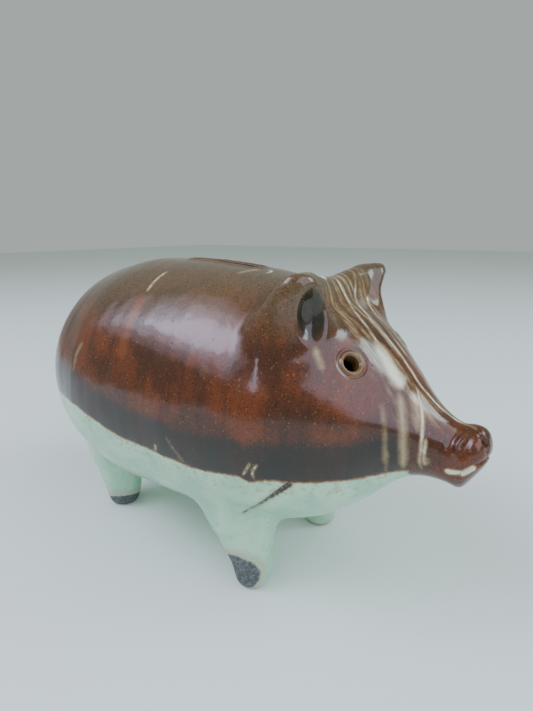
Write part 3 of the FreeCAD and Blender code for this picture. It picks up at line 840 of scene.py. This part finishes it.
glazeMark = {
    "line": [  # height of the brown dip's edge along the side: x, z
        (-100, 67), (-80, 67.5), (-58.6, 68.2), (-48.5, 67.9), (-34.4, 64.4), (-20.1, 60.4), (-5.2, 59.4),
        (3.4, 58.4),
        (14.6, 57.2), (23, 57.2), (34, 58.3), (37, 56.6), (42, 58.6), (53, 58.4), (67, 58.6), (77, 60.5),
    ],
    "throat": 79.0,
    "farWave": (1.6, 17),  # height and length of the wave in the edge on the left side
    # where the painted reflection band fades out towards the snout
    "bandEnd": (84, 75),
}
runShape = {"taper": 6, "thin": 0.3}  # how soon a run's ends narrow, and how far they fade
slipMark = {  # trailed cream slip: half width in mm, then the places it passes
    "brow left": (0.5, [(44.2, 11, 123.2), (45.6, 9.6, 120), (46.8, 8, 117.2), (49.8, 4.2, 113), (53.6, 2, 109.6),
        (59, 0.2, 105.9), (66.2, 0.6, 99.2), (69.8, 0.4, 95.5), (73, -0.4, 92.2), (77, -0.7, 87.5), (80.4, 0, 83.7),
        (84.1, 0.2, 80.3), (87.3, 0.8, 77.6), (90.8, 0.5, 76.9), (94.2, -1, 77.2), (96.6, -2.4, 76.5)]),
    "brow mid": (0.42, [(43.4, -0.8, 121.4), (45, -1.8, 120.1), (47, -2.1, 117.4), (49.3, -1.5, 113.3),
        (54.4, -4.1, 109.2), (59.9, -5.5, 104.5), (64.4, -6.8, 99.8), (67.7, -7.1, 96.3)]),
    "cheek run": (0.45, [(76.2, -3.2, 88), (78.2, -4.6, 85.4), (80.1, -7, 82.3), (81.6, -9.6, 78.2),
        (82.4, -11.6, 73.6), (82.6, -12.2, 69.4), (82.4, -11.8, 65.3), (83, -10.2, 61.8)]),
    "cheek wide": (1.3, [(76.6, -6, 87), (78.6, -8, 83), (80, -10, 79.4), (80.8, -11.8, 75)]),
    "neck second": (0.4, [(83.6, -10.9, 73.4), (83.7, -11.7, 70.2), (83.6, -11.6, 66.6), (84, -10.6, 63.6)]),
    "neck end": (0.9, [(84.2, -11.2, 67), (84.2, -10.4, 64)]),
    "neck band": (1.4, [(74.4, -11.4, 88), (75.4, -12.8, 85), (76, -13.8, 82), (77.2, -15, 76.6), (77.8, -15.4, 71.8),
        (78, -15, 66.3), (78, -13.6, 62)]),
    "neck thin": (0.35, [(71.2, -18.6, 84.6), (72.5, -19.2, 80.1), (73.4, -19.7, 75.4), (73.8, -19.7, 70.3),
        (73.8, -18.8, 65.7), (73.6, -17, 61)]),
    "forehead": (3.4, [(62, -7, 101.8), (66.6, -7.6, 97), (69.4, -8.6, 94), (72, -9.4, 90.6), (74, -10.4, 87)]),
    "by the eye": (0.9, [(51.7, -27.6, 102.2), (53.1, -27.8, 98.9), (54.5, -28.1, 96.6), (55.3, -28.7, 94.9)]),
    "back run": (0.55, [(-24.2, -19.3, 121.9), (-24.8, -24.2, 119.8), (-24.2, -29, 117), (-23.3, -32.4, 114.6)]),
    "rump run": (0.7, [(-45.1, -48.7, 94.2), (-48.3, -50.4, 89), (-48.9, -52.1, 82.4)]),
    "slot smear": (1.0, [(7.5, -13, 121.6), (9.5, -8.6, 122.4), (11, -4, 122.9)]),
    "slot curl": (0.5, [(14.4, -1.6, 122.9), (17, -4, 122.2), (17, -7.6, 121.4)]),
    "lip": (0.9, [(89.6, -8.8, 63.6), (91.4, -8.8, 62.9), (93.6, -8.8, 63.2), (95.4, -8.4, 63.5)]),
    "lip front": (1.0, [(94.4, -8.6, 63.2), (95.4, -8.4, 63.4), (97.2, -7.6, 64.8), (98.6, -6, 66)]),
    "crest chip": (1.7, [(43.4, -17, 124), (43.6, -12, 122.9), (43.6, -8.4, 122)]),
    "tip chip": (1.3, [(45.6, 27, 125.6), (46.4, 29.6, 124.4)]),
    "scratch": (0.16, [(5.3, -51.4, 67.9), (7.6, -50.9, 64.9), (10.3, -49.8, 60.7), (12, -49.1, 58.6)]),
    "scratch front": (0.2, [(38.8, -45, 64.9), (36.8, -45, 61.7), (35.2, -44.7, 58.8)]),
    "scratch fork": (0.22, [(41.1, -44.1, 64.9), (39, -44.2, 61.4), (38.8, -43.3, 58)]),
    "spur": (0.45, [(-0.6, -51.4, 63), (-1.4, -51, 59.4)]),
    "far brow": (0.5, [(44.6, 20, 123.6), (46.6, 17.4, 118.6), (48, 15.4, 113), (52.6, 11, 109.2), (58, 7, 104.6),
        (66, 5, 98.4), (74, 4.6, 91)]),
    "far cheek": (0.6, [(58, 24, 101), (66, 19, 93), (72, 17.4, 86), (76, 16, 78), (77.6, 15.4, 70),
        (77.6, 14.4, 63)]),
    "far neck": (0.5, [(82, 6, 81.4), (83, 9.6, 76), (83.2, 11.6, 70), (83, 11.6, 65)]),
    "far flank": (0.8, [(-14, 18, 123), (-15, 27, 119), (-13, 36, 112.6), (-12, 44, 103)]),
}
faintRuns = {"neck end", "by the eye", "rump run", "slot smear", "neck band", "neck thin", "cheek wide", "forehead",
             "far flank", "scratch"}
rustMark = {
    "flank": (1.8, [(-22.6, -36, 111.6), (-21.6, -41, 107), (-20.4, -45.6, 101), (-19.6, -48.6, 94)]),
}
bareMark = {  # unglazed spots: centre and radius
    "front right": ((24.2, -35.6, 8.6), 8.4),
    "front left": ((24, 27, -3.5), 7),
    "rear right": ((-66, -22, -2), 10),
    "rear left": ((-68, 21, -3), 9),
}


def paint(obj):
    mesh = obj.data
    points = getPoints(mesh)
    keys = np.array(glazeMark["line"])
    wave, waveLength = glazeMark["farWave"]
    side = np.where(points[:, 1] > 0, wave, 0) * np.sin(points[:, 0] / waveLength)
    line = np.interp(points[:, 0], keys[:, 0], keys[:, 1]) + side
    fields = {"glazeGap": np.maximum(points[:, 2] - line, points[:, 0] - glazeMark["throat"])}
    for field, faint in (("slipGap", False), ("veilGap", True)):
        gap = np.full(len(points), farGap)
        for name, (half, spots) in slipMark.items():
            if (name in faintRuns) == faint:
                away, along = lineGap(points, spots)
                taper = np.clip(runShape["taper"] * np.minimum(along, 1 - along), 0, 1) ** 0.5
                gap = np.minimum(gap, away - half * taper + runShape["thin"] * (1 - taper))
        fields[field] = gap
    half, spots = rustMark["flank"]
    fields["rustGap"] = np.minimum(farGap, lineGap(points, spots)[0] - half)
    gap, along = lineGap(points, crackMark["line"])
    fields["crackGap"] = np.minimum(farGap, gap + crackMark["darkTaper"] * along)
    # a pale ring round each eye: glaze drawn back at the edge, and a painted highlight
    paleRingAt, worn = eyeMark["worn"]
    fields["veilGap"] = np.minimum(fields["veilGap"], np.abs(eyeGap(points) - paleRingAt) + worn)
    gap = np.full(len(points), farGap)
    for centre, radius in bareMark.values():
        gap = np.minimum(gap, np.linalg.norm(points - np.array(centre), axis=1) - radius)
    fields["bareGap"] = gap
    # how far in the streaks over the brow and snout run, strongest between the ears
    fields["brow"] = (ease(34, 46, points[:, 0]) * ease(21, 9, np.abs(points[:, 1] - 1))
                      * ease(axisZ, axisZ + 12, points[:, 2]) * ease(99, 92, points[:, 0]))
    # the forward side of each ear's dish is painted dark, as shade in the hollow
    dish = np.full(len(points), earMark["far"])
    for sign in sides.values():
        bowl, local = earBowl(points, sign)
        inside = (local[:, 1] * sign > earMark["dishShadeFrom"]) & (np.abs(local[:, 1]) < earMark["thick"][0])
        dish = np.minimum(dish, np.where(inside, bowl, earMark["far"]))
    fields["dish"] = dish
    # painted dark reflection of the floor in a band over the glaze line, stopping short of the snout
    fields["band"] = ease(*glazeMark["bandEnd"], points[:, 0])
    fields["height"] = points[:, 2]
    for name, values in fields.items():
        mesh.attributes.new(name, "FLOAT", "POINT").data.foreach_set("value", values.astype(np.float32))


# glazes and clay


def addNode(tree, kind, inputs=None, output=0, **settings):
    node = tree.nodes.new("ShaderNode" + kind)
    for key, value in settings.items():
        setattr(node, key, value)
    for socket, value in (inputs or {}).items():
        if isinstance(value, bpy.types.NodeSocket):
            tree.links.new(value, node.inputs[socket])
        else:
            node.inputs[socket].default_value = value
    return node.outputs[output]


def newMaterial(name):
    material = bpy.data.materials.new(name)
    material.use_nodes = True
    return material, material.node_tree, material.node_tree.nodes["Principled BSDF"]


glazeLook = {
    "brown": "#472410",
    "brownDeep": "#25140A",
    "brownWarm": "#66310F",
    # painted olive reflection of a green backdrop, laid over the crown
    "brownGreenReflection": "#62563A",
    # painted dark green-black reflection of the floor over the glaze line, also painted shade in the ear dishes
    "brownShadeAndReflection": "#0D1A11",
    "brownSpeck": "#180E08",
    "brownFleck": "#A87B4A",
    # cream glaze and its cooler clouds tinted mint: the glaze's cream with painted green bounce light
    "cream": "#B0D8B8",
    "creamCool": "#93C8A8",
    "creamStain": "#9C8454",
    "edge": "#8E6A35",
    "slip": "#DCDCC4",
    "slipThin": "#A99468",
    "rust": "#8A4A22",
    "crack": "#2E261C",
    "bareDark": "#464C4C",
    "bareLight": "#737C7A",
    "bareRim": "#B2AB92",
}
glazeGrain = {  # how each grain is turned and drawn out before its noise is read
    "even": ((0, 0, 0), (1, 1, 1)),
    "around": ((0, 0, 0), (1, 8, 8)),
    "down the brow": ((0, 0.72, 0), (9, 1, 4)),
}
glazeNoise = {  # size in mm, octaves, grain
    "rag": (4.5, 3, "even"),
    "fineRag": (1.3, 2, "even"),
    "pools": (17, 3, "even"),
    "bands": (3.2, 3, "around"),
    "specks": (0.6, 1.5, "even"),
    "flecks": (0.8, 1, "even"),
    "combed": (2.0, 3, "down the brow"),
    "worn": (3.5, 2, "even"),
    "clouds": (14, 3, "even"),
    "stains": (2.4, 3, "even"),
    "spots": (1.2, 1, "even"),
    "scorch": (1.4, 3, "even"),
    "waves": (6.5, 2, "even"),
    "peel": (1.6, 2, "even"),
}
glazeLines = {  # ragged edges: a noise, how many mm it moves the edge, and what it is added to
    "fineShare": ("fineRag", 0.9, -1.45),
    "ragged": ("rag", 2.0, "fineShare"),
    "glazeLine": ("ragged", 1.0, "glazeGap"),
    "veilLine": ("ragged", 1.0, "veilGap"),
    "runLine": ("fineRag", 0.5, "slipGap"),
    "rustLine": ("rag", 3.0, "rustGap"),
    "crackLine": ("fineRag", 1.0, "crackGap"),
    "bareLine": ("ragged", 1.1, "bareGap"),
}
glazeRamps = {  # what is read, from, to, and the shares at both
    "isBrown": ("glazeLine", -0.12, 0.12, 0, 1),
    "warm": ("pools", 0.38, 0.62, 0, 1),
    "banded": ("bands", 0.45, 0.7, 0, 0.4),
    "specked": ("specks", 0.5, 0.68, 0, 0.6),
    "flecked": ("flecks", 0.67, 0.75, 0, 0.4),
    # painted reflection: the crown turns olive with height
    "high": ("height", 98, 120, 0, 1),
    # painted reflection: a dark band rising from just above the glaze line
    "reflectionAboveLine": ("glazeLine", 0.2, 1.5, 0, 0.8),
    "reflectionUnderTop": ("glazeLine", 17, 12, 0, 1),
    # painted shade: the forward side of each ear's dish darkened
    "paintedDishShade": ("dish", 1.0, 0.7, 0, 0.75),
    "rusty": ("rustLine", 3.6, 0.4, 0, 0.42),
    "combing": ("combed", 0.46, 0.66, 0, 0.8),
    "browPatch": ("stains", 0.3, 0.6, 0.35, 1),
    "veiled": ("veilLine", 1.3, -1.4, 0, 0.62),
    "veilCore": ("veilLine", -0.3, -2.6, 0, 0.6),
    "runSkirt": ("runLine", 1.05, 0.15, 0, 0.55),
    "runCore": ("runLine", 0.45, -0.05, 0, 1),
    "unworn": ("worn", 0.3, 0.55, 0.35, 0.95),
    "cloudy": ("clouds", 0.35, 0.65, 0, 1),
    "nearBrown": ("glazeLine", -13, -0.5, 0, 1),
    "stained": ("stains", 0.48, 0.7, 0, 0.6),
    "spotted": ("spots", 0.68, 0.75, 0, 0.7),
    "crackStain": ("crackLine", 3.4, 1.6, 0, 0.4),
    "crackDark": ("crackLine", 1.95, 1.45, 0, 0.95),
    "edgeBelow": ("glazeLine", -0.5, -0.15, 0, 0.85),
    "edgeAbove": ("glazeLine", 0.5, 0.15, 0, 1),
    "bareRimShare": ("bareLine", 5.0, 0.9, 0, 0.7),
    "isBare": ("bareLine", 0.7, -0.5, 0, 1),
    "scorched": ("scorch", 0.4, 0.68, 0, 0.7),
    "poolGloss": ("pools", 0.3, 0.7, 0, 0.05),
    "bareDull": ("bareLine", 1.8, 0.2, 0, 0.7),
    "step": ("glazeLine", -0.15, 0.5, 0, 1),
    "pitted": ("pits", 0.075, 0.02, 0, 1),
}
glazeProducts = {  # one share held back by another
    "reflectionBandShare": ("reflectionAboveLine", "reflectionUnderTop"),
    "paintedReflectionBand": ("reflectionBandShare", "band"),
    "crownGreenReflection": ("high", 0.62),
    "browComb": ("brow", "combing"),
    "browRuns": ("browComb", "browPatch"),
    "runKept": ("runCore", "unworn"),
    "stainNear": ("nearBrown", "stained"),
    "edging": ("edgeBelow", "edgeAbove"),
    "bareGrit": ("isBare", "scorch"),
}
glazeCoats = {  # colours laid one over the other, each with its share
    "brown": [("warm", "brownWarm"), ("banded", "brownDeep"), ("crownGreenReflection", "brownGreenReflection"), ("specked", "brownSpeck"),
              ("flecked", "brownFleck"), ("paintedReflectionBand", "brownShadeAndReflection"), ("paintedDishShade", "brownShadeAndReflection"), ("rusty", "rust"),
              ("browRuns", "slipThin"), ("veiled", "slipThin"), ("veilCore", "slip"), ("runSkirt", "slipThin"),
              ("runKept", "slip")],
    "cream": [("cloudy", "creamCool"), ("stainNear", "creamStain"), ("spotted", "creamStain"),
              ("crackStain", "creamStain"), ("crackDark", "crack")],
    "bareDark": [("scorched", "bareLight")],
}
glazeRelief = {  # height in mm that each gives the glaze's skin
    "waves": 0.13,
    "peel": 0.022,
    "bands": 0.012,
    "step": 0.1,
    "runCore": 0.05,
    "pitted": -0.12,
    "bareGrit": 0.25,
}
glazeFinish = {"brownGloss": 0.13, "creamGloss": 0.2, "refraction": 1.55, "pitSpacing": 5.5, "noiseGrit": 0.55}


def glazedEarthenware(name):
    # lead glazed earthenware, thrown and dipped: clear cream glaze below, iron brown glaze above.
    # It gives the eye a wet gloss over fine specks, with streaks of trailed slip
    # painted light in its colour: a dark floor reflection band over the dip line, shade in the ear dishes, a green
    # reflection on the crown, a mint tint of green bounce light on the cream
    material, tree, shader = newMaterial(name)
    place = addNode(tree, "TexCoord", output="Object")
    read = {key: (*hexToLinear(code), 1) for key, code in glazeLook.items()}
    for field in ("glazeGap", "slipGap", "veilGap", "rustGap", "crackGap", "bareGap", "brow", "band", "dish",
                  "height"):
        read[field] = addNode(tree, "Attribute", output="Fac", attribute_name=field)
    for grain, (turn, scale) in glazeGrain.items():
        read[grain] = addNode(tree, "Mapping", {"Vector": place, "Rotation": turn, "Scale": scale},
                              vector_type="TEXTURE")
    for key, (size, octaves, grain) in glazeNoise.items():
        read[key] = addNode(tree, "TexNoise", {"Vector": read[grain], "Scale": 1 / (size * mm), "Detail": octaves,
                                               "Roughness": glazeFinish["noiseGrit"]})
    read["pits"] = addNode(tree, "TexVoronoi", {"Vector": place, "Scale": 1 / (glazeFinish["pitSpacing"] * mm)})
    for key, (source, share, base) in glazeLines.items():
        read[key] = addNode(tree, "Math", {0: read[source], 1: share, 2: read.get(base, base)},
                            operation="MULTIPLY_ADD")
    for key, (source, low, high, start, end) in glazeRamps.items():
        read[key] = addNode(tree, "MapRange", {"Value": read[source], "From Min": low, "From Max": high,
                                               "To Min": start, "To Max": end}, interpolation_type="SMOOTHSTEP")
    for key, (first, second) in glazeProducts.items():
        read[key] = addNode(tree, "Math", {0: read[first], 1: read.get(second, second)}, operation="MULTIPLY")
    for base, coats in glazeCoats.items():
        for share, colour in coats:
            read[base] = addNode(tree, "Mix", {0: read[share], 6: read[base], 7: read[colour]}, 2, data_type="RGBA")
    colour = addNode(tree, "Mix", {0: read["isBrown"], 6: read["cream"], 7: read["brown"]}, 2, data_type="RGBA")
    for share, over in (("edging", "edge"), ("bareRimShare", "bareRim"), ("isBare", "bareDark")):
        colour = addNode(tree, "Mix", {0: read[share], 6: colour, 7: read[over]}, 2, data_type="RGBA")
    tree.links.new(colour, shader.inputs["Base Color"])

    dip = addNode(tree, "MapRange", {"Value": read["isBrown"], "To Min": glazeFinish["creamGloss"],
                                     "To Max": glazeFinish["brownGloss"]})
    gloss = addNode(tree, "Math", {0: dip, 1: read["poolGloss"]}, operation="ADD")
    gloss = addNode(tree, "Math", {0: gloss, 1: read["bareDull"]}, operation="MAXIMUM")
    tree.links.new(gloss, shader.inputs["Roughness"])
    shader.inputs["IOR"].default_value = glazeFinish["refraction"]

    height = 0.0
    for source, rise in glazeRelief.items():
        height = addNode(tree, "Math", {0: read[source], 1: rise, 2: height}, operation="MULTIPLY_ADD")
    normal = addNode(tree, "Bump", {"Height": height, "Distance": mm})
    tree.links.new(normal, shader.inputs["Normal"])
    return material


# clay colours painted dark: shade inside the hollow body
clayLook = {"hollow": "#2E2018", "ridge": "#4C382A", "grain": 1.5, "relief": 0.1, "roughness": 0.85}


def bareClay(name):
    # low fired red-buff clay inside, only wiped: dull and faintly ridged, its colour painted dark as the shade inside
    # the body, eye holes and slot
    material, tree, shader = newMaterial(name)
    place = addNode(tree, "TexCoord", output="Object")
    grain = addNode(tree, "TexNoise", {"Vector": place, "Scale": 1 / (clayLook["grain"] * mm), "Detail": 3.0})
    colour = addNode(tree, "Mix", {0: grain, 6: (*hexToLinear(clayLook["hollow"]), 1),
                                   7: (*hexToLinear(clayLook["ridge"]), 1)}, 2, data_type="RGBA")
    tree.links.new(colour, shader.inputs["Base Color"])
    shader.inputs["Roughness"].default_value = clayLook["roughness"]
    normal = addNode(tree, "Bump", {"Height": grain, "Distance": clayLook["relief"] * mm})
    tree.links.new(normal, shader.inputs["Normal"])
    return material


glazed = glazedEarthenware("dipped lead glazed earthenware")
clay = bareClay("wiped bare earthenware")
for name, obj in pieces.items():
    paint(obj)
    obj.data.materials.clear()
    obj.data.materials.append(glazed)
    obj.data.materials.append(clay)
    obj.data.transform(Matrix.Scale(mm, 4))
    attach(obj, "root")
    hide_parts(name)
print("pieces painted")

# floor, light and camera

stageLook = {
    "cameraSpot": (127.8, -152.6, 138.3),
    "aim": (-0.5858, 0.7681, -0.2585),
    "roll": 0.36,
    "lens": 24.02,
}


def plainMaterial(name, code, roughness):
    material = bpy.data.materials.new(name)
    material.use_nodes = True
    shader = material.node_tree.nodes["Principled BSDF"]
    shader.inputs["Base Color"].default_value = (*hexToLinear(code), 1)
    shader.inputs["Roughness"].default_value = roughness
    return material


floorMesh = bmesh.new()
bmesh.ops.create_grid(floorMesh, x_segments=1, y_segments=1, size=3)
floor = newObject("floor", floorMesh)
floor.data.materials.append(plainMaterial("matt paper", "#E2EDE6", 0.9))

cameraData = bpy.data.cameras.new("camera")
cameraData.lens = stageLook["lens"]
camera = bpy.data.objects.new("camera", cameraData)
bpy.context.scene.collection.objects.link(camera)
look = Vector(stageLook["aim"]).to_track_quat("-Z", "Y").to_matrix().to_4x4()
turn = Matrix.Rotation(math.radians(-stageLook["roll"]), 4, "Z")
camera.matrix_world = Matrix.Translation(Vector(stageLook["cameraSpot"]) * mm) @ look @ turn
bpy.context.scene.camera = camera


def addLamp(name, spot, target, size, watts, code, roll):
    lampData = bpy.data.lights.new(name, "AREA")
    lampData.shape = "RECTANGLE"
    lampData.size, lampData.size_y = size
    lampData.energy = watts
    lampData.color = hexToLinear(code)
    lamp = bpy.data.objects.new(name, lampData)
    bpy.context.scene.collection.objects.link(lamp)
    aim = (target - spot).to_track_quat("-Z", "Y").to_matrix().to_4x4()
    lamp.matrix_world = Matrix.Translation(spot) @ aim @ Matrix.Rotation(math.radians(roll), 4, "Z")


lampLook = {  # direction from the object, distance, width and height, watts, colour, roll
    "window": ((-0.456, -0.507, 0.731), 1.12, (0.5, 0.36), 3.4, "#E2DEFF", 0),
    "window haze": ((-0.456, -0.507, 0.731), 1.16, (0.85, 0.66), 4.2, "#E6E2FF", 0),
    "window wall": ((-0.456, -0.507, 0.731), 1.2, (1.3, 1.0), 4.8, "#E6E2FF", 0),
    "side strip": ((0.05, -0.91, 0.41), 1.1, (0.09, 0.2), 0.4, "#E6E2FF", 0),
    "front wall": ((0.784, -0.09, 0.616), 1.2, (1.6, 1.15), 14, "#E8E4FF", 34),
    "far kicker": ((0.646, 0.47, 0.6), 1.0, (0.32, 0.32), 2.1, "#DDFFFF", 0),
}
lampHeight = 0.08
for name, (direction, distance, size, watts, code, roll) in lampLook.items():
    target = Vector((0, 0, lampHeight))
    addLamp(name, target + Vector(direction) * distance, target, size, watts, code, roll)

worldLook = {"colour": "#DCE6E2", "strength": 0.6}
world = bpy.data.worlds.new("studio")
world.use_nodes = True
world.node_tree.nodes["Background"].inputs["Color"].default_value = (*hexToLinear(worldLook["colour"]), 1)
world.node_tree.nodes["Background"].inputs["Strength"].default_value = worldLook["strength"]
bpy.context.scene.world = world
